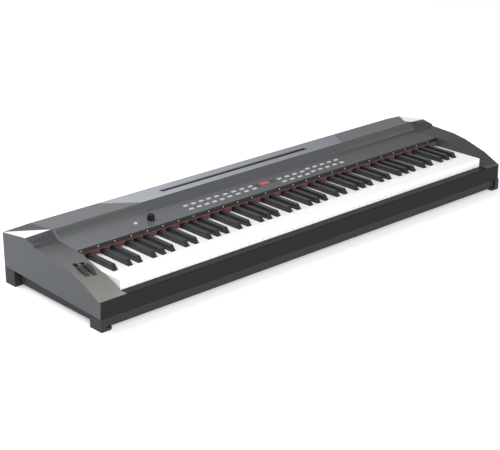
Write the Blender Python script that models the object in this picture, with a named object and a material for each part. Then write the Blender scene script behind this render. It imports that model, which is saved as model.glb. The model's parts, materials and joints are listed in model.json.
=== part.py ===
import math

import bmesh
import bpy
import numpy as np

for old in list(bpy.data.objects):
    bpy.data.objects.remove(old, do_unlink=True)

# Drawing frame in millimetres: x from the lowest key's left edge, y from the key fronts to the rear, z from the white tops
midX, midY, floorZ = 599.4, 155.5, -91.5
leftX, rightX, rearY = -75.2, 1273.9, 340.0
wall = 3.0
gap = 0.3
# Keys
pitch, whiteCount, keySlack = 23.5, 52, 0.45
blackHalf, blackSlack = 6.0, 1.0
lipZ, keyUnder = -22.9, -14.0
whiteBar = (222.0, 230.0)
blackBar = (236.0, 244.0)
blackTop, blackRear, blackUnder, blackArch = 12.0, 8.0, -13.0, 2.0
whitePivot = (0.0, 226.0, -7.0)
blackPivot = (0.0, 240.0, -3.0)
letters = "ABCDEFG"
blackOffset = {"A": 3.36, "C": -2.35, "D": 2.35, "F": -3.36, "G": 0.0}
# Panel, shelf and case
panelFront, panelRise = (156.0, 22.8), 0.0685
caseLine = [(153.0, 13.0), panelFront, (227.5, 27.7), (250.0, 47.0), (340.0, 36.2), (340.0, -60.0)]
caseLeft, caseRight = -1.7, 1222.7
outerTop = [(-26, -21.3), (-20.5, -20), (24.1, 1.3), (91.8, 21.6), (133.9, 29.2), (214, 33.5), (216, 38), (252, 45), (340, 33.6)]
innerTop = [(-26, -21.4), (-3.3, -21.2), (19.9, -10.1), (49.3, -1.2), (87.1, 8.1), (127.9, 20), (155, 23.5), (227.5, 27.7), (250, 47), (340, 36.2)]
sideLow = [(-26, -62), (300, -51), (340, -51)]
railTop, railLow = -23.2, -61.8
trayBox = (-61.0, 1259.5, -24.0, 333.5, -84.5, -54.0)
trayWall = 2.5
slotBox = (350.0, 848.0, 282.5, 302.0)
grilleSpans = {"left_speaker_grille": (4.0, 262.0), "right_speaker_grille": (932.0, 1216.0)}
speakerAt = {"left_speaker": 133.0, "right_speaker": 1074.0}
buttonRows = {
    "button_row_1_rear": (355, 453, 5, 203.0),
    "button_row_1_front": (355, 453, 5, 181.0),
    "button_row_2_rear": (480, 563, 4, 200.0),
    "button_row_2_front": (480, 563, 4, 183.0),
    "button_row_3_rear": (658, 739, 4, 194.0),
    "button_row_3_front": (658, 739, 4, 174.0),
    "button_row_4_rear": (765, 870, 5, 200.7),
    "button_row_4_front": (765, 870, 5, 179.4),
}
capSize, capHeight = (13.0, 6.0), 1.6
displayBox = (575.0, 645.0, 187.0, 203.0)
powerAt, knobAt = (195.0, 193.7), (238.0, 190.0)
wheelX = {"modulation_wheel": -45.5, "pitch_wheel": -26.0}
wheelHalf, wheelRadius, wheelY, wheelZ = 5.5, 28.0, 82.0, -8.0
jackAt = {"headphone_jack_left": (-53.0, -46.0), "headphone_jack_right": (-31.0, -43.0)}

colours = {
    "grey": (0.17, 0.185, 0.21, 1),
    "dark": (0.03, 0.03, 0.03, 1),
    "black": (0.008, 0.009, 0.011, 1),
    "ivory": (0.85, 0.85, 0.83, 1),
    "ebony": (0.012, 0.012, 0.012, 1),
    "felt": (0.15, 0.008, 0.01, 1),
    "grille": (0.05, 0.055, 0.05, 1),
    "steel": (0.45, 0.45, 0.46, 1),
    "board": (0.02, 0.12, 0.05, 1),
    "rubber": (0.03, 0.03, 0.03, 1),
    "button": (0.35, 0.36, 0.38, 1),
    "window": (0.02, 0.03, 0.025, 1),
}
materials = {}
for slot, colour in colours.items():
    made = bpy.data.materials.new(slot)
    made.use_nodes = True
    made.node_tree.nodes["Principled BSDF"].inputs["Base Color"].default_value = colour
    made.node_tree.nodes["Principled BSDF"].inputs["Roughness"].default_value = 0.5
    materials[slot] = made


def addMesh(name, slot, polygons, pivot=None, smooth=False, cutter=False):
    """Makes one object from polygons of drawing frame points, with its origin at the pivot."""
    index, points, faces = {}, [], []
    for polygon in polygons:
        face = []
        for point in polygon:
            key = tuple(round(float(value), 4) for value in point)
            if key not in index:
                index[key] = len(points)
                points.append(key)
            if not face or (index[key] != face[-1] and index[key] != face[0]):
                face.append(index[key])
        if len(face) > 2:
            faces.append(face)
    base = pivot or (midX, midY, floorZ)
    mesh = bpy.data.meshes.new(name)
    mesh.from_pydata([[(p[k] - base[k]) / 1000 for k in range(3)] for p in points], [], faces)
    work = bmesh.new()
    work.from_mesh(mesh)
    bmesh.ops.recalc_face_normals(work, faces=work.faces)
    work.to_mesh(mesh)
    work.free()
    mesh.materials.append(materials[slot])
    made = bpy.data.objects.new(name, mesh)
    made.location = [(base[0] - midX) / 1000, (base[1] - midY) / 1000, (base[2] - floorZ) / 1000]
    bpy.context.scene.collection.objects.link(made)
    if smooth:
        for polygon in mesh.polygons:
            polygon.use_smooth = True
    if cutter:
        made.hide_render = True
        made.display_type = "WIRE"
    return made


def prism(axis, outline, low, high):
    """Polygons of an outline pushed along an axis: the outline holds the two other coordinates in order."""
    def at(pair, level):
        values = list(pair)
        values.insert("xyz".index(axis), level)
        return tuple(values)
    found = [[at(pair, low) for pair in outline], [at(pair, high) for pair in outline]]
    for one, two in zip(outline, outline[1:] + outline[:1]):
        found.append([at(one, low), at(two, low), at(two, high), at(one, high)])
    return found


def box(x0, x1, y0, y1, z0, z1):
    return prism("x", [(y0, z0), (y1, z0), (y1, z1), (y0, z1)], x0, x1)


def loft(rings):
    """Polygons through rings of equal count, with both ends closed."""
    found = [rings[0], rings[-1]]
    for one, two in zip(rings, rings[1:]):
        for k in range(len(one)):
            n = (k + 1) % len(one)
            found.append([one[k], one[n], two[n]])
            found.append([one[k], two[n], two[k]])
    return found


def lathe(profile, steps, origin, axis, side):
    """Turns (radius, height) pairs about an axis. Pairs on the axis become single points."""
    axis, side = np.array(axis, float), np.array(side, float)
    axis /= np.linalg.norm(axis)
    side /= np.linalg.norm(side)
    third = np.cross(axis, side)
    origin = np.array(origin, float)
    rings = []
    for radius, height in profile:
        ring = []
        for k in range(steps):
            turn = 2 * math.pi * k / steps
            ring.append(tuple(origin + axis * height + radius * (math.cos(turn) * side + math.sin(turn) * third)))
        rings.append(ring)
    found = []
    for one, two in zip(rings, rings[1:] + rings[:1]):
        for k in range(steps):
            n = (k + 1) % steps
            found.append([one[k], one[n], two[n], two[k]])
    return found


def cut(target, cutter, name):
    step = target.modifiers.new(name, "BOOLEAN")
    step.operation = "DIFFERENCE"
    step.solver = "EXACT"
    step.object = cutter


def offsetLine(line, distance):
    """Moves an open line to its right by a distance, with mitred corners."""
    line = np.array(line, float)
    along = np.diff(line, axis=0)
    along /= np.linalg.norm(along, axis=1)[:, None]
    normal = np.stack([along[:, 1], -along[:, 0]], axis=1)
    first = np.vstack([normal[:1], normal])
    last = np.vstack([normal, normal[-1:]])
    mid = first + last
    mid /= np.sum(mid * first, axis=1)[:, None]
    return [tuple(p) for p in line + mid * distance]


slope = math.atan(panelRise)


def onPanel(x, y, across, along, height):
    """A point near the panel: offsets along x, up the panel and out of it."""
    z = panelFront[1] + panelRise * (y - panelFront[0])
    return (
        x + across,
        y + along * math.cos(slope) - height * math.sin(slope),
        z + along * math.sin(slope) + height * math.cos(slope),
    )


def panelBlock(x, y, halfX, halfY, low, high):
    rings = []
    for height in (low, high):
        corners = ((-halfX, -halfY), (halfX, -halfY), (halfX, halfY), (-halfX, halfY))
        rings.append([onPanel(x, y, a, b, height) for a, b in corners])
    return loft(rings)


# Keys: a finger without its rear face, then the bar that closes it
def whiteFinger(x0, x1, xa, xb):
    yBar, notch = whiteBar[0], 48.5
    top = [(x0, 0), (x1, 0), (x1, notch), (xb, notch), (xb, yBar), (xa, yBar), (xa, notch), (x0, notch)]
    low = [(x0, 20), (x1, 20), (x1, notch), (xb, notch), (xb, yBar), (xa, yBar), (xa, notch), (x0, notch)]
    side = [(0, 0), (0, lipZ), (14, lipZ), (20, keyUnder), (notch, keyUnder), (notch, 0)]
    found = [[(x, y, 0) for x, y in top], [(x, y, keyUnder) for x, y in low]]
    for x in (x0, x1):
        found.append([(x, y, z) for y, z in side])
    for x in (xa, xb):
        found.append([(x, notch, 0), (x, yBar, 0), (x, yBar, keyUnder), (x, notch, keyUnder)])
    found.append([(x0, 0, 0), (x1, 0, 0), (x1, 0, lipZ), (x0, 0, lipZ)])
    found.append([(x0, 0, lipZ), (x1, 0, lipZ), (x1, 14, lipZ), (x0, 14, lipZ)])
    found.append([(x0, 14, lipZ), (x1, 14, lipZ), (x1, 20, keyUnder), (x0, 20, keyUnder)])
    for one, two in ((x0, xa), (xb, x1)):
        if two - one > 0.01:
            found.append([(one, notch, 0), (two, notch, 0), (two, notch, keyUnder), (one, notch, keyUnder)])
    return found


blackSide = [(219, blackUnder), (49.5, blackUnder), (49.5, 0), (60, blackTop), (146, blackTop), (150, blackRear)]


def blackFinger(x0, x1):
    yBar = blackBar[0]
    side = [(yBar, blackArch), (219, blackArch)] + blackSide + [(yBar, blackRear)]
    found = [[(x, y, z) for y, z in side] for x in (x0, x1)]
    for one, two in zip(side, side[1:]):
        found.append([(x0, *one), (x1, *one), (x1, *two), (x0, *two)])
    return found


def barPolygons(spans, bar, low, joint, top):
    """A bar behind the fingers: low and top are its heights, and each finger joins it from joint to top."""
    front, back = bar
    xs = [x for span in spans for x in span]
    start, end = xs[0], xs[-1]
    split = joint > low
    found = [[(x, front, top) for x in xs] + [(end, back, top), (start, back, top)]]
    lower = [start, end] if split else xs
    found.append([(x, front, low) for x in lower] + [(end, back, low), (start, back, low)])
    found.append([(start, back, low), (end, back, low), (end, back, top), (start, back, top)])
    for x in (start, end):
        edge = [(x, front, low), (x, front, joint), (x, front, top)] if split else [(x, front, low), (x, front, top)]
        found.append(edge + [(x, back, top), (x, back, low)])
    for one, two in zip(spans, spans[1:]):
        found.append([(one[1], front, joint), (two[0], front, joint), (two[0], front, top), (one[1], front, top)])
    if split:
        found.append([(start, front, low), (end, front, low)] + [(x, front, joint) for x in reversed(xs)])
    return found


def blackCentre(i):
    """The middle of the black key above white key i, or None."""
    letter = letters[i % 7]
    if i < 0 or i >= whiteCount - 1 or letter not in blackOffset:
        return None
    return (i + 1) * pitch + blackOffset[letter]


def whiteSpan(i):
    x0, x1 = i * pitch + keySlack, (i + 1) * pitch - keySlack
    before, after = blackCentre(i - 1), blackCentre(i)
    cutHalf = blackHalf + blackSlack
    xa = x0 if before is None else before + cutHalf
    xb = x1 if after is None else after - cutHalf
    return x0, x1, xa, xb


def makeWhites(name, members):
    found, spans = [], []
    for i in members:
        span = whiteSpan(i)
        found += whiteFinger(*span)
        spans.append(span[2:])
    found += barPolygons(spans, whiteBar, keyUnder, keyUnder, 0)
    addMesh(name, "ivory", found, pivot=(spans[0][0], *whitePivot[1:]))


def makeBlacks(name, members):
    found, spans = [], []
    for i in members:
        centre = blackCentre(i)
        span = (centre - blackHalf, centre + blackHalf)
        found += blackFinger(*span)
        spans.append(span)
    found += barPolygons(spans, blackBar, keyUnder, blackArch, blackRear)
    addMesh(name, "ebony", found, pivot=(spans[0][0], *blackPivot[1:]))


noteNames = {"C": "c", "D": "d", "E": "e", "F": "f", "G": "g", "A": "a", "B": "b"}
ranges = {"bass": (0, 9), "low": (9, 23), "high": (30, 44), "treble": (44, 52)}
for name, (first, last) in ranges.items():
    makeWhites(f"white_keys_{name}", range(first, last))
    makeBlacks(f"black_keys_{name}", [i for i in range(first, last) if blackCentre(i) is not None])
for i in range(23, 30):
    note = noteNames[letters[i % 7]]
    makeWhites(f"key_{note}4", [i])
    if blackCentre(i) is not None:
        makeBlacks(f"key_{note}4_sharp", [i])

# Top case: one folded sheet with panel, step, shelf and rear wall, and its openings
inner = offsetLine(caseLine, wall)
topCase = addMesh("top_case", "grey", prism("x", caseLine + inner[::-1], caseLeft, caseRight))
openings = []
openings += box(*slotBox, 20, 60)
stepLow, stepHigh = np.array(caseLine[2]), np.array(caseLine[3])
stepRun = (stepHigh - stepLow) / np.linalg.norm(stepHigh - stepLow)
stepOut = np.array([-stepRun[1], stepRun[0]])
stepLength = float(np.linalg.norm(stepHigh - stepLow))


def stepPrism(x0, x1, low, high, depth, rise):
    """A block on the step face from low to high up the step, and from depth inside to rise outside."""
    corners = ((low, -depth), (high, -depth), (high, rise), (low, rise))
    outline = [tuple(stepLow + stepRun * a + stepOut * b) for a, b in corners]
    return prism("x", outline, x0, x1)


for x0, x1 in grilleSpans.values():
    openings += stepPrism(x0, x1, 3.0, stepLength - 2.5, 6.0, 6.0)
for x0, x1, count, y in buttonRows.values():
    for k in range(count):
        x = x0 + (x1 - x0) * k / (count - 1)
        openings += panelBlock(x, y, capSize[0] / 2 + gap, capSize[1] / 2 + gap, -8, 6)
displayMid = ((displayBox[0] + displayBox[1]) / 2, (displayBox[2] + displayBox[3]) / 2)
displayHalf = ((displayBox[1] - displayBox[0]) / 2, (displayBox[3] - displayBox[2]) / 2)
openings += panelBlock(*displayMid, displayHalf[0] + gap, displayHalf[1] + gap, -8, 6)
panelAxis = (0, -math.sin(slope), math.cos(slope))
acrossAxis = (1, 0, 0)
openings += lathe([(0, -8), (5.3, -8), (5.3, 6), (0, 6)], 24, onPanel(*powerAt, 0, 0, 0), panelAxis, acrossAxis)
openings += lathe([(0, -8), (3.5, -8), (3.5, 6), (0, 6)], 24, onPanel(*knobAt, 0, 0, 0), panelAxis, acrossAxis)
cut(topCase, addMesh("case_openings", "dark", openings, cutter=True), "openings")

for name, (x0, x1) in grilleSpans.items():
    addMesh(name, "grille", stepPrism(x0 + gap, x1 - gap, 3.0 + gap, stepLength - 2.5 - gap, 2.0, 0.0))
for name, x in speakerAt.items():
    rings = []
    for halfX, halfS, depth in ((58, 12.6, 3.3), (58, 12.6, 5.3), (50, 10, 5.3), (40, 9, 17), (16, 9, 17), (16, 9, 28)):
        ring = []
        for k in range(20):
            turn = 2 * math.pi * k / 20
            a = math.copysign(abs(math.cos(turn)) ** 0.5, math.cos(turn)) * halfX
            b = math.copysign(abs(math.sin(turn)) ** 0.5, math.sin(turn)) * halfS
            point = stepLow + stepRun * (stepLength / 2 + b) - stepOut * depth
            ring.append((x + a, float(point[0]), float(point[1])))
        rings.append(ring)
    addMesh(name, "dark", loft(rings))
for name, (x0, x1, count, y) in buttonRows.items():
    web = panelBlock((x0 + x1) / 2, y, (x1 - x0) / 2 + 7.5, 5.0, -5.3, -wall - gap)
    row = addMesh(name, "button", web, pivot=onPanel((x0 + x1) / 2, y, 0, 0, 0))
    caps = []
    for k in range(count):
        x = x0 + (x1 - x0) * k / (count - 1)
        caps += panelBlock(x, y, capSize[0] / 2, capSize[1] / 2, -4.4, capHeight)
    joined = addMesh(name + "_caps", "button", caps, cutter=True)
    step = row.modifiers.new("caps", "BOOLEAN")
    step.operation = "UNION"
    step.solver = "EXACT"
    step.object = joined
addMesh("display_window", "window", panelBlock(*displayMid, *displayHalf, -2.6, 0.2))
powerShape = [(0, -5.3), (7, -5.3), (7, -wall - gap), (5, -wall - gap), (5, 1.4), (4.4, 2.0), (0, 2.0)]
addMesh("power_button", "button", lathe(powerShape, 24, onPanel(*powerAt, 0, 0, 0), panelAxis, acrossAxis),
        pivot=onPanel(*powerAt, 0, 0, 0), smooth=False)
knobShape = [(0, -9), (3, -9), (3, gap), (9, gap), (8.4, 12), (7.4, 13.2), (0, 13.2)]
addMesh("volume_knob", "dark", lathe(knobShape, 32, onPanel(*knobAt, 0, 0, 0), panelAxis, acrossAxis),
        pivot=onPanel(*knobAt, 0, 0, 0))
boardLine = [(180, 10.5), (890, 10.5), (890, 20.3), (887, 20.3), (887, 12.1), (468, 12.1), (468, 20.3), (465, 20.3)]
boardLine += [(465, 12.1), (183, 12.1), (183, 20.3), (180, 20.3)]
addMesh("main_board", "board", prism("y", boardLine, 168, 214))

# Felt under the panel's front edge, notched over each black key
feltLow, feltHigh, notchHigh = 1.5, 11.8, 10.0
feltLine = [(caseLeft + 1, feltHigh), (caseLeft + 1, feltLow)]
for i in range(whiteCount):
    centre = blackCentre(i)
    if centre is not None:
        left, right = centre - blackHalf - 1.2, centre + blackHalf + 1.2
        feltLine += [(left, feltLow), (left, notchHigh), (right, notchHigh), (right, feltLow)]
feltLine += [(caseRight - 1, feltLow), (caseRight - 1, feltHigh)]
addMesh("felt_strip", "felt", prism("y", feltLine, 152.4, 157.0))

# End blocks: a lofted cheek and side wall, hollow from below
def endBlock(name, outerX, innerX):
    turn = 1 if innerX > outerX else -1
    stations = sorted({float(y) for y, _ in outerTop + innerTop + sideLow})
    rings = []
    for y in stations:
        low = np.interp(y, *zip(*sideLow))
        high = np.interp(y, *zip(*outerTop))
        near = np.interp(y, *zip(*innerTop))
        rings.append([(outerX, y, low), (outerX, y, high), (innerX, y, near), (innerX, y, low)])
    made = addMesh(name, "grey", loft(rings))
    rings = []
    for y in [-40.0, 0.0] + [y for y in stations if 5 < y < rearY - wall] + [rearY - wall]:
        high = np.interp(y, *zip(*outerTop)) - wall
        near = np.interp(y, *zip(*innerTop)) - wall
        if y <= 0:
            high = near = railTop + gap
        rings.append([(outerX + turn * wall, y, -100), (outerX + turn * wall, y, high),
                      (innerX - turn * wall, y, near), (innerX - turn * wall, y, -100)])
    cut(made, addMesh(name + "_hollow", "dark", loft(rings), cutter=True), "hollow")
    x0, x1 = sorted((innerX - turn * (wall + 2), innerX + turn * 2))
    under = box(x0, x1, -40, 0.0, -100, railTop + gap)
    cut(made, addMesh(name + "_under", "dark", under, cutter=True), "under")
    return made


leftBlock = endBlock("left_end_block", leftX, caseLeft - gap)
rightBlock = endBlock("right_end_block", rightX, caseRight + gap)
slots = []
for x in wheelX.values():
    slots += box(x - wheelHalf - 1, x + wheelHalf + 1, wheelY - 28.5, wheelY + 23, -4, 60)
cut(leftBlock, addMesh("wheel_slots", "dark", slots, cutter=True), "wheels")

# Wheels on stub axles in one bracket
for name, x in wheelX.items():
    shape = [(0, -8), (3, -8), (3, -wheelHalf), (wheelRadius - 1, -wheelHalf), (wheelRadius, -wheelHalf + 1)]
    shape += [(wheelRadius, wheelHalf - 1), (wheelRadius - 1, wheelHalf), (3, wheelHalf), (3, 8), (0, 8)]
    addMesh(name, "rubber", lathe(shape, 40, (x, wheelY, wheelZ), (1, 0, 0), (0, 1, 0)), pivot=(x, wheelY, wheelZ))
bracket = addMesh("wheel_bracket", "black", box(-56.5, -15, wheelY - 12, wheelY + 12, -81.7, -2))
pockets = []
for x in wheelX.values():
    pockets += box(x - wheelHalf - 0.7, x + wheelHalf + 0.7, wheelY - 20, wheelY + 20, -39, 10)
pockets += box(-51.5, -20, wheelY - 20, wheelY + 20, -77, -45)
cut(bracket, addMesh("bracket_pockets", "dark", pockets, cutter=True), "pockets")
axleHole = lathe([(0, -70), (3.15, -70), (3.15, 10), (0, 10)], 16, (0, wheelY, wheelZ), (1, 0, 0), (0, 1, 0))
cut(bracket, addMesh("axle_hole", "dark", axleHole, cutter=True), "axle")

# Front rail: top flange and front wall, with two jack holes
railLine = [(-1, railTop), (-22.5, railTop), (-24.6, -24.2), (-25.4, -26.5), (-29, railLow)]
railInner = offsetLine(railLine, -wall)
rail = addMesh("front_rail", "dark", prism("x", railLine + railInner[::-1], leftX + wall + gap, rightX - wall - gap))
holes = []
for x, z in jackAt.values():
    holes += lathe([(0, -40), (4.5, -40), (4.5, -15), (0, -15)], 24, (x, 0, z), (0, 1, 0), (1, 0, 0))
cut(rail, addMesh("jack_holes", "dark", holes, cutter=True), "holes")
for name, (x, z) in jackAt.items():
    shape = [(1.85, -26.4), (4.1, -26.4), (4.1, -22.9), (5.6, -22.9), (5.6, -5), (0, -5), (0, -8), (1.85, -8)]
    addMesh(name, "black", lathe(shape, 24, (x, 0, z), (0, 1, 0), (1, 0, 0)))

# Bottom tray, open at the top
x0, x1, y0, y1, z0, z1 = trayBox
tray = addMesh("bottom_tray", "black", box(*trayBox))
pocket = box(x0 + trayWall, x1 - trayWall, y0 + trayWall, y1 - trayWall, z0 + trayWall, z1 + 10)
cut(tray, addMesh("tray_pocket", "dark", pocket, cutter=True), "pocket")

# Keybed chassis: a folded steel sheet that stands on the tray's floor
trayFloor = trayBox[4] + trayWall
ridge = keyUnder - 0.4
bedTop, sheet = -37.5, 1.0
bedLine = [(4, trayFloor + gap), (4, bedTop), (222.5, bedTop), (222.5, ridge), (243.5, ridge), (243.5, bedTop)]
bedLine += [(300, bedTop), (300, trayFloor + gap)]
addMesh("keybed_chassis", "steel", prism("x", bedLine + offsetLine(bedLine, sheet)[::-1], caseLeft + 0.2, caseRight - 0.2))
addMesh("key_stop_rail", "felt", box(1, 1220, 22, 40, bedTop + gap, -24.2))
addMesh("contact_board", "board", box(5, 1216, 95, 135, bedTop + gap, bedTop + 1.9))
addMesh("contact_strip", "rubber", box(5, 1216, 108, 120, bedTop + 2.2, -23.0))

# Feet under the four corners
for name, outerX, innerX, y0, y1, top in (
    ("foot_front_left", leftX, -46.0, -29.0, 12.0, -62.3),
    ("foot_front_right", rightX, 1244.7, -29.0, 12.0, -62.3),
    ("foot_rear_left", leftX, -46.0, 302.0, rearY, -51.3),
    ("foot_rear_right", rightX, 1244.7, 302.0, rearY, -51.3),
):
    turn = 1 if innerX > outerX else -1
    shoulder = (trayBox[0] - gap) if turn > 0 else (trayBox[1] + gap)
    under = trayBox[4] - gap
    line = [(outerX, top), (shoulder, top), (shoulder, under), (innerX, under), (innerX - turn * 3, floorZ), (outerX, floorZ)]
    addMesh(name, "grey", prism("y", line, y0, y1))
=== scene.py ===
import json

import bpy
from mathutils import Matrix


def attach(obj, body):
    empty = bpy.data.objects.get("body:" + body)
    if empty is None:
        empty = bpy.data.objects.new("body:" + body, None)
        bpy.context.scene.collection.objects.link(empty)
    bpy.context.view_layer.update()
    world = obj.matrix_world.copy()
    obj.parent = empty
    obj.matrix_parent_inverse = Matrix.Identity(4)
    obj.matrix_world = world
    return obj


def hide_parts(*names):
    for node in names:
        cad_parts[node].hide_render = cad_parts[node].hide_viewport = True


with open("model.json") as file:
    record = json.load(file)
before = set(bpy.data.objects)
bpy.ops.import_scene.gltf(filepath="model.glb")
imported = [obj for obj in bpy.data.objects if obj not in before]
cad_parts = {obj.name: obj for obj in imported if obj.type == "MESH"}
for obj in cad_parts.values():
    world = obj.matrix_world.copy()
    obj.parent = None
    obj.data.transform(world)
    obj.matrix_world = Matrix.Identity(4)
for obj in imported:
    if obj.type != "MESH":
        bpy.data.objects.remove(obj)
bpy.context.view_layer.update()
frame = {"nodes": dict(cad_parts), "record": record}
scene = bpy.context.scene

# Small tools for node trees. A number or a socket is taken anywhere a value is needed.


def feed(tree, socket, value):
    if isinstance(value, bpy.types.NodeSocket):
        tree.links.new(value, socket)
    else:
        socket.default_value = (*value, 1) if isinstance(value, tuple) else value


# One step of arithmetic, such as a sum, a product or a test, on one or two values
def compute(tree, kind, *values):
    node = tree.nodes.new("ShaderNodeMath")
    node.operation = kind
    for socket, value in zip(node.inputs, values):
        feed(tree, socket, value)
    return node.outputs["Value"]


# Runs evenly through toSpan while the source runs through fromSpan, and stays at the nearer end outside it
def ramp(tree, source, fromSpan, toSpan=(0.0, 1.0)):
    node = tree.nodes.new("ShaderNodeMapRange")
    for name, value in zip(("From Min", "From Max", "To Min", "To Max"), (*fromSpan, *toSpan)):
        feed(tree, node.inputs[name], value)
    feed(tree, node.inputs["Value"], source)
    return node.outputs["Result"]


# Colour one where the factor is 0 and colour two where it is 1
def blendColour(tree, factor, one, two):
    node = tree.nodes.new("ShaderNodeMix")
    node.data_type = "RGBA"
    colourOne, colourTwo = [socket for socket in node.inputs if socket.type == "RGBA"]
    feed(tree, node.inputs["Factor"], factor)
    feed(tree, colourOne, one)
    feed(tree, colourTwo, two)
    return next(socket for socket in node.outputs if socket.type == "RGBA")


# 1 where the value lies between the two limits, else 0
def between(tree, value, limits):
    above = compute(tree, "GREATER_THAN", value, limits[0])
    return compute(tree, "MULTIPLY", above, compute(tree, "LESS_THAN", value, limits[1]))


def splitVector(tree, vector):
    node = tree.nodes.new("ShaderNodeSeparateXYZ")
    tree.links.new(vector, node.inputs["Vector"])
    return node.outputs


print("surface grain")
grainLook = {"roughBelow": 0.05, "roughAbove": 0.07, "depth": 0.0003, "scale": 900.0, "bump": 0.08}
grainGroup = bpy.data.node_groups.new("moulded grain", "ShaderNodeTree")
for name, kind in (("Vector", "NodeSocketVector"), ("Scale", "NodeSocketFloat"),
                   ("Rough", "NodeSocketFloat"), ("Bump", "NodeSocketFloat")):
    grainGroup.interface.new_socket(name, in_out="INPUT", socket_type=kind)
grainGroup.interface.new_socket("Roughness", in_out="OUTPUT", socket_type="NodeSocketFloat")
grainGroup.interface.new_socket("Normal", in_out="OUTPUT", socket_type="NodeSocketVector")
given = grainGroup.nodes.new("NodeGroupInput").outputs
result = grainGroup.nodes.new("NodeGroupOutput").inputs
noise = grainGroup.nodes.new("ShaderNodeTexNoise")
feed(grainGroup, noise.inputs["Vector"], given["Vector"])
feed(grainGroup, noise.inputs["Scale"], given["Scale"])
# Roughness wanders a little below and above its set value with the noise, and so does the height
smoother = compute(grainGroup, "SUBTRACT", given["Rough"], grainLook["roughBelow"])
rougher = compute(grainGroup, "ADD", given["Rough"], grainLook["roughAbove"])
feed(grainGroup, result["Roughness"], ramp(grainGroup, noise.outputs["Fac"], (0.0, 1.0), (smoother, rougher)))
bump = grainGroup.nodes.new("ShaderNodeBump")
feed(grainGroup, bump.inputs["Distance"], grainLook["depth"])
feed(grainGroup, bump.inputs["Strength"], given["Bump"])
feed(grainGroup, bump.inputs["Height"], noise.outputs["Fac"])
feed(grainGroup, result["Normal"], bump.outputs["Normal"])


# A Principled surface with the grain. Returns the material, its tree, its shader and the object coordinates.
def makeFinish(name, look):
    made = bpy.data.materials.new(name)
    made.use_nodes = True
    tree = made.node_tree
    shader = tree.nodes["Principled BSDF"]
    feed(tree, shader.inputs["Base Color"], look["colour"])
    feed(tree, shader.inputs["IOR"], look.get("ior", 1.48))
    feed(tree, shader.inputs["Metallic"], look.get("metal", 0.0))
    feed(tree, shader.inputs["Coat Weight"], look.get("coat", 0.0))
    feed(tree, shader.inputs["Coat Roughness"], 0.15)
    feed(tree, shader.inputs["Sheen Weight"], look.get("sheen", 0.0))
    place = tree.nodes.new("ShaderNodeTexCoord").outputs["Object"]
    grain = tree.nodes.new("ShaderNodeGroup")
    grain.node_tree = grainGroup
    feed(tree, grain.inputs["Vector"], place)
    feed(tree, grain.inputs["Scale"], look.get("grain", grainLook["scale"]))
    feed(tree, grain.inputs["Rough"], look["rough"])
    feed(tree, grain.inputs["Bump"], look.get("bump", grainLook["bump"]))
    feed(tree, shader.inputs["Roughness"], grain.outputs["Roughness"])
    feed(tree, shader.inputs["Normal"], grain.outputs["Normal"])
    return made, tree, shader, place


print("plain finishes")
finishes = {
    "grey": {"colour": (0.018, 0.019, 0.021), "rough": 0.5, "ior": 1.3, "coat": 0.1},
    "dark": {"colour": (0.006, 0.006, 0.0058), "rough": 0.5, "ior": 1.3},
    "black": {"colour": (0.007, 0.008, 0.010), "rough": 0.55},
    "ivory": {"colour": (0.93, 0.93, 0.925), "rough": 0.22, "coat": 0.3, "bump": 0.01},
    "ebony": {"colour": (0.012, 0.012, 0.012), "rough": 0.35, "bump": 0.03},
    "felt": {"colour": (0.12, 0.008, 0.01), "rough": 0.9, "sheen": 0.5, "bump": 0.6},
    "steel": {"colour": (0.45, 0.45, 0.46), "rough": 0.35, "metal": 1.0},
    "board": {"colour": (0.02, 0.12, 0.05), "rough": 0.4},
    "rubber": {"colour": (0.03, 0.03, 0.03), "rough": 0.7, "bump": 0.2},
    "button": {"colour": (0.50, 0.51, 0.53), "rough": 0.35, "bump": 0.02},
}
surfaces = {name: makeFinish(name, look)[0] for name, look in finishes.items()}

print("speaker grille")
# The distance to the nearest point of an even grid is dark near the point, which reads as a hole in the sheet
grilleLook = {"colour": (0.09, 0.1, 0.085), "rough": 0.6, "holesPerMetre": 420.0, "holeEdge": (0.3, 0.42),
              "hole": (0.006, 0.006, 0.006), "sheet": (0.085, 0.092, 0.085)}
surfaces["grille"], tree, shader, place = makeFinish("grille", grilleLook)
cells = tree.nodes.new("ShaderNodeTexVoronoi")
feed(tree, cells.inputs["Scale"], grilleLook["holesPerMetre"])
feed(tree, cells.inputs["Randomness"], 0.0)
feed(tree, cells.inputs["Vector"], place)
sheet = ramp(tree, cells.outputs["Distance"], grilleLook["holeEdge"])
feed(tree, shader.inputs["Base Color"], blendColour(tree, sheet, grilleLook["hole"], grilleLook["sheet"]))

print("top case")
# The colour follows the place: a dark band over the keys, then panel, step, shelf plate and dark ends. Panel,
# ends and plate carry painted light: lighter at the left, painted shade towards the right, and the plate's
# pale left part is a painted highlight
caseLook = {
    "colour": (0.1, 0.1, 0.1), "rough": 0.38, "coat": 0.15,
    "caseSpan": (-0.6, 0.62), "plateSpan": (-0.42, 0.42),
    # painted light: the left tones are lit and the right tones painted shade; the pale shelf left is a
    # painted highlight
    "panelLitLeft": (0.110, 0.115, 0.125), "panelShadedRight": (0.028, 0.028, 0.028),
    "shelfHighlightLeft": (0.36, 0.37, 0.40), "shelfRight": (0.11, 0.115, 0.13),
    "endLitLeft": (0.12, 0.115, 0.125), "endShadedRight": (0.04, 0.038, 0.044),
    "riser": (0.06, 0.063, 0.068), "panelRear": 0.0726,
    "shelfDepth": (0.0945, 0.1845), "plateHalf": (0.341, 0.407),
    "bandTop": 0.1139, "bandRear": 0.01, "band": (0.006, 0.006, 0.006),
    "mark": (0.6, 0.6, 0.6), "markPitch": 0.047, "markShare": 0.05,
    "markHeight": (0.108, 0.1105), "markStart": 2.0,
}
case, tree, shader, place = makeFinish("case", caseLook)
x, y, z = splitVector(tree, place)
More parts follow.
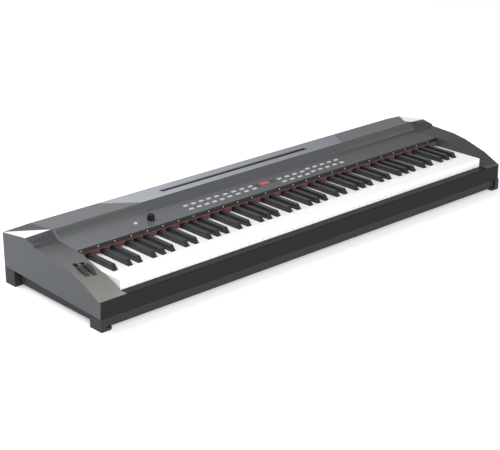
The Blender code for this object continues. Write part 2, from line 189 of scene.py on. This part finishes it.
# Painted light across the case: panel and ends lighter at the left, painted shade towards the right
caseShadeRamp = ramp(tree, x, caseLook["caseSpan"])
panelPaintedLight = blendColour(tree, caseShadeRamp, caseLook["panelLitLeft"], caseLook["panelShadedRight"])
endPaintedLight = blendColour(tree, caseShadeRamp, caseLook["endLitLeft"], caseLook["endShadedRight"])
# Painted highlight: the shelf plate is pale at the left and fades to its darker tone towards the right
shelfHighlightFade = ramp(tree, x, caseLook["plateSpan"])
shelfPaintedHighlight = blendColour(tree, shelfHighlightFade, caseLook["shelfHighlightLeft"], caseLook["shelfRight"])
onRiser = compute(tree, "LESS_THAN", y, caseLook["shelfDepth"][0])
plateTone = blendColour(tree, onRiser, shelfPaintedHighlight, caseLook["riser"])
plateHalf = ramp(tree, y, caseLook["shelfDepth"], caseLook["plateHalf"])  # the plate widens towards the rear
onPlate = compute(tree, "LESS_THAN", compute(tree, "ABSOLUTE", x), plateHalf)
upperTone = blendColour(tree, onPlate, endPaintedLight, plateTone)
behindPanel = compute(tree, "GREATER_THAN", y, caseLook["panelRear"])
bodyTone = blendColour(tree, behindPanel, panelPaintedLight, upperTone)
# Plain small marks at an even pitch along the band, one for every second white key
markPhase = compute(tree, "DIVIDE", compute(tree, "ADD", x, caseLook["markStart"]), caseLook["markPitch"])
markWide = compute(tree, "LESS_THAN", compute(tree, "FRACT", markPhase), caseLook["markShare"])
mark = compute(tree, "MULTIPLY", markWide, between(tree, z, caseLook["markHeight"]))
bandTone = blendColour(tree, mark, caseLook["band"], caseLook["mark"])
belowPanel = compute(tree, "LESS_THAN", z, caseLook["bandTop"])
onBand = compute(tree, "MULTIPLY", belowPanel, compute(tree, "LESS_THAN", y, caseLook["bandRear"]))
feed(tree, shader.inputs["Base Color"], blendColour(tree, onBand, bodyTone, bandTone))

print("display")
# Red figures of seven-segment cells: each cell has two uprights beside its middle and two bars across it, at
# its top and its bottom, with no middle bar
displayLook = {
    "colour": (0.010, 0.020, 0.014), "rough": 0.1, "bump": 0.0,
    "left": -0.0054, "right": 0.0228, "figurePitch": 0.0094,
    "base": 0.0345, "height": 0.0105, "levels": (0.0, 1.03),
    "uprightAt": 0.28, "stroke": 0.07, "barHalf": 0.3,
    "red": (1.0, 0.03, 0.02), "unlit": (0.0, 0.0, 0.0), "strength": 2.0,
}
surfaces["window"], tree, shader, place = makeFinish("display", displayLook)
x, y, z = splitVector(tree, place)
fromLeft = compute(tree, "SUBTRACT", x, displayLook["left"])
cellPlace = compute(tree, "DIVIDE", fromLeft, displayLook["figurePitch"])
offMiddle = compute(tree, "ABSOLUTE", compute(tree, "SUBTRACT", compute(tree, "FRACT", cellPlace), 0.5))
offUpright = compute(tree, "ABSOLUTE", compute(tree, "SUBTRACT", offMiddle, displayLook["uprightAt"]))
upright = compute(tree, "LESS_THAN", offUpright, displayLook["stroke"])
level = compute(tree, "DIVIDE", compute(tree, "SUBTRACT", y, displayLook["base"]), displayLook["height"])
nearBar = compute(tree, "LESS_THAN", compute(tree, "PINGPONG", level, 0.5), displayLook["stroke"])
bar = compute(tree, "MULTIPLY", nearBar, compute(tree, "LESS_THAN", offMiddle, displayLook["barHalf"]))
figure = compute(tree, "MAXIMUM", upright, bar)
figure = compute(tree, "MULTIPLY", figure, between(tree, level, displayLook["levels"]))
figure = compute(tree, "MULTIPLY", figure, between(tree, x, (displayLook["left"], displayLook["right"])))
litTone = blendColour(tree, figure, displayLook["unlit"], displayLook["red"])
feed(tree, shader.inputs["Emission Color"], litTone)
feed(tree, shader.inputs["Emission Strength"], displayLook["strength"])

print("end blocks")
# What faces up is the cheek, painted lighter than the sides and given painted light: pale at the front,
# painted shade to the rear and towards the right, with a near-white facet behind it that is partly its pale
# finish and partly a painted reflection
endLook = {
    "colour": (0.1, 0.1, 0.1), "rough": 0.4, "coat": 0.1, "side": (0.042, 0.047, 0.055), "facingUp": 0.3,
    # painted light on the cheek tops: lit at the front, painted shade at the rear and on the right cheek
    "cheekDepth": (-0.17, 0.06), "cheekLitFront": (0.19, 0.185, 0.165), "cheekShadedRear": (0.040, 0.042, 0.045),
    "width": (-0.6, 0.6), "farCheekShade": (0.03, 0.03, 0.03),
    "facetDepth": (0.0945, 0.1845), "facetShift": (0.0, 0.072), "facetInner": 0.6025,
    # near-white facet: partly its pale finish, partly a painted reflection
    "facet": (0.85, 0.85, 0.87),
}
endFinish, tree, shader, place = makeFinish("cheek", endLook)
x, y, z = splitVector(tree, place)
normal = splitVector(tree, tree.nodes.new("ShaderNodeNewGeometry").outputs["Normal"])
facesUp = compute(tree, "GREATER_THAN", normal["Z"], endLook["facingUp"])
# Painted light along the cheek tops: lit at the front, painted shade to the rear and towards the right
cheekShadeRamp = ramp(tree, y, endLook["cheekDepth"])
cheekPaintedLight = blendColour(tree, cheekShadeRamp, endLook["cheekLitFront"], endLook["cheekShadedRear"])
nearLeft = ramp(tree, x, endLook["width"], (1.0, 0.0))
cheekPaintedLight = blendColour(tree, nearLeft, endLook["farCheekShade"], cheekPaintedLight)
# The facet's inner edge moves outwards as it goes back
facetShift = ramp(tree, y, endLook["facetDepth"], endLook["facetShift"])
facetEdge = compute(tree, "ADD", facetShift, endLook["facetInner"])
outside = compute(tree, "GREATER_THAN", compute(tree, "ABSOLUTE", x), facetEdge)
onFacet = compute(tree, "MULTIPLY", outside, compute(tree, "GREATER_THAN", y, endLook["facetDepth"][0]))
# The facet's near-white is partly its pale finish and partly a painted reflection
topPaintedLight = blendColour(tree, onFacet, cheekPaintedLight, endLook["facet"])
# Painted light: faces that face up get the lighter painted tones, the other faces the darker side colour
feed(tree, shader.inputs["Base Color"], blendColour(tree, facesUp, endLook["side"], topPaintedLight))

print("finishes on the nodes")
slots = {entry["node"]: entry["material_slot"] for entry in frame["record"]["subparts"]}
ownFinish = {"top_case": case, "left_end_block": endFinish, "right_end_block": endFinish}
for name, node in frame["nodes"].items():
    node.data.materials.clear()
    node.data.materials.append(ownFinish.get(name, surfaces[slots[name]]))

print("keys, buttons, knob and feet")
# Each is a copy of its node's plain shape that rides on the node's body
copiedStarts = ("key_", "white", "black_keys", "button", "power", "volume", "foot")
keptNodes = ("key_stop_rail",)
owners = {node: body for body, nodes in frame["record"]["behaviour"]["bodies"].items() for node in nodes}
for name, node in frame["nodes"].items():
    if name in keptNodes or not name.startswith(copiedStarts):
        continue
    shape = bpy.data.objects.new(name + "_rounded", node.data.copy())
    scene.collection.objects.link(shape)
    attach(shape, owners[name])
    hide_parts(name)

print("camera")
view = {
    "at": (-2.2580, -2.3973, 1.3005), "lens": 100.71, "sensor": 36, "reach": 50,
    "right": (0.7394, -0.6733, -0.0014), "up": (0.2454, 0.2675, 0.9318), "back": (-0.6270, -0.6893, 0.3630),
}
camera = bpy.data.objects.new("camera", bpy.data.cameras.new("camera"))
scene.collection.objects.link(camera)
scene.camera = camera
camera.data.lens = view["lens"]
camera.data.sensor_width = view["sensor"]
camera.data.clip_end = view["reach"]
turn = Matrix((view["right"], view["up"], view["back"])).transposed().to_4x4()
camera.matrix_world = Matrix.Translation(view["at"]) @ turn

print("surroundings")
# The camera sees plain white, and everything else sees a soft pale light
airLook = {"light": (0.9, 0.92, 0.95), "strength": 0.68, "seen": (1.0, 1.0, 1.0), "seenStrength": 1.0}
world = bpy.data.worlds.new("world")
scene.world = world
world.use_nodes = True
tree = world.node_tree
ray = tree.nodes.new("ShaderNodeLightPath")
lit = tree.nodes["Background"]
feed(tree, lit.inputs["Color"], airLook["light"])
feed(tree, lit.inputs["Strength"], airLook["strength"])
seen = tree.nodes.new("ShaderNodeBackground")
feed(tree, seen.inputs["Color"], airLook["seen"])
feed(tree, seen.inputs["Strength"], airLook["seenStrength"])
mixed = tree.nodes.new("ShaderNodeMixShader")
feed(tree, mixed.inputs["Fac"], ray.outputs["Is Camera Ray"])
feed(tree, mixed.inputs[1], lit.outputs["Background"])
feed(tree, mixed.inputs[2], seen.outputs["Background"])
feed(tree, tree.nodes["World Output"].inputs["Surface"], mixed.outputs["Shader"])

floorLook = {"colour": (0.82, 0.82, 0.82), "rough": 0.8, "grain": 40.0, "bump": 0.0,
             "half": 9.0, "level": -0.0005, "glow": (1.0, 1.0, 1.0), "glowStrength": 0.36}
half, level = floorLook["half"], floorLook["level"]
corners = [(-half, -half, level), (half, -half, level), (half, half, level), (-half, half, level)]
floorShape = bpy.data.meshes.new("floor")
floorShape.from_pydata(corners, [], [(0, 1, 2, 3)])
floor = bpy.data.objects.new("floor", floorShape)
scene.collection.objects.link(floor)
pale, tree, shader, place = makeFinish("floor", floorLook)
feed(tree, shader.inputs["Emission Color"], floorLook["glow"])
feed(tree, shader.inputs["Emission Strength"], floorLook["glowStrength"])
floorShape.materials.append(pale)

print("lights")
lights = {
    "key": {"at": (-1.6, 1.6, 2.4), "size": 2.0, "power": 60},
    "fill": {"at": (-0.9, -3.0, 0.9), "size": 2.5, "power": 85},
}
for name, look in lights.items():
    data = bpy.data.lights.new(name, "AREA")
    data.size = look["size"]
    data.energy = look["power"]
    lamp = bpy.data.objects.new(name, data)
    scene.collection.objects.link(lamp)
    lamp.location = look["at"]
    lamp.rotation_euler = (-lamp.location).to_track_quat("-Z", "Y").to_euler()  # turned to the origin

scene.view_settings.view_transform = "Standard"
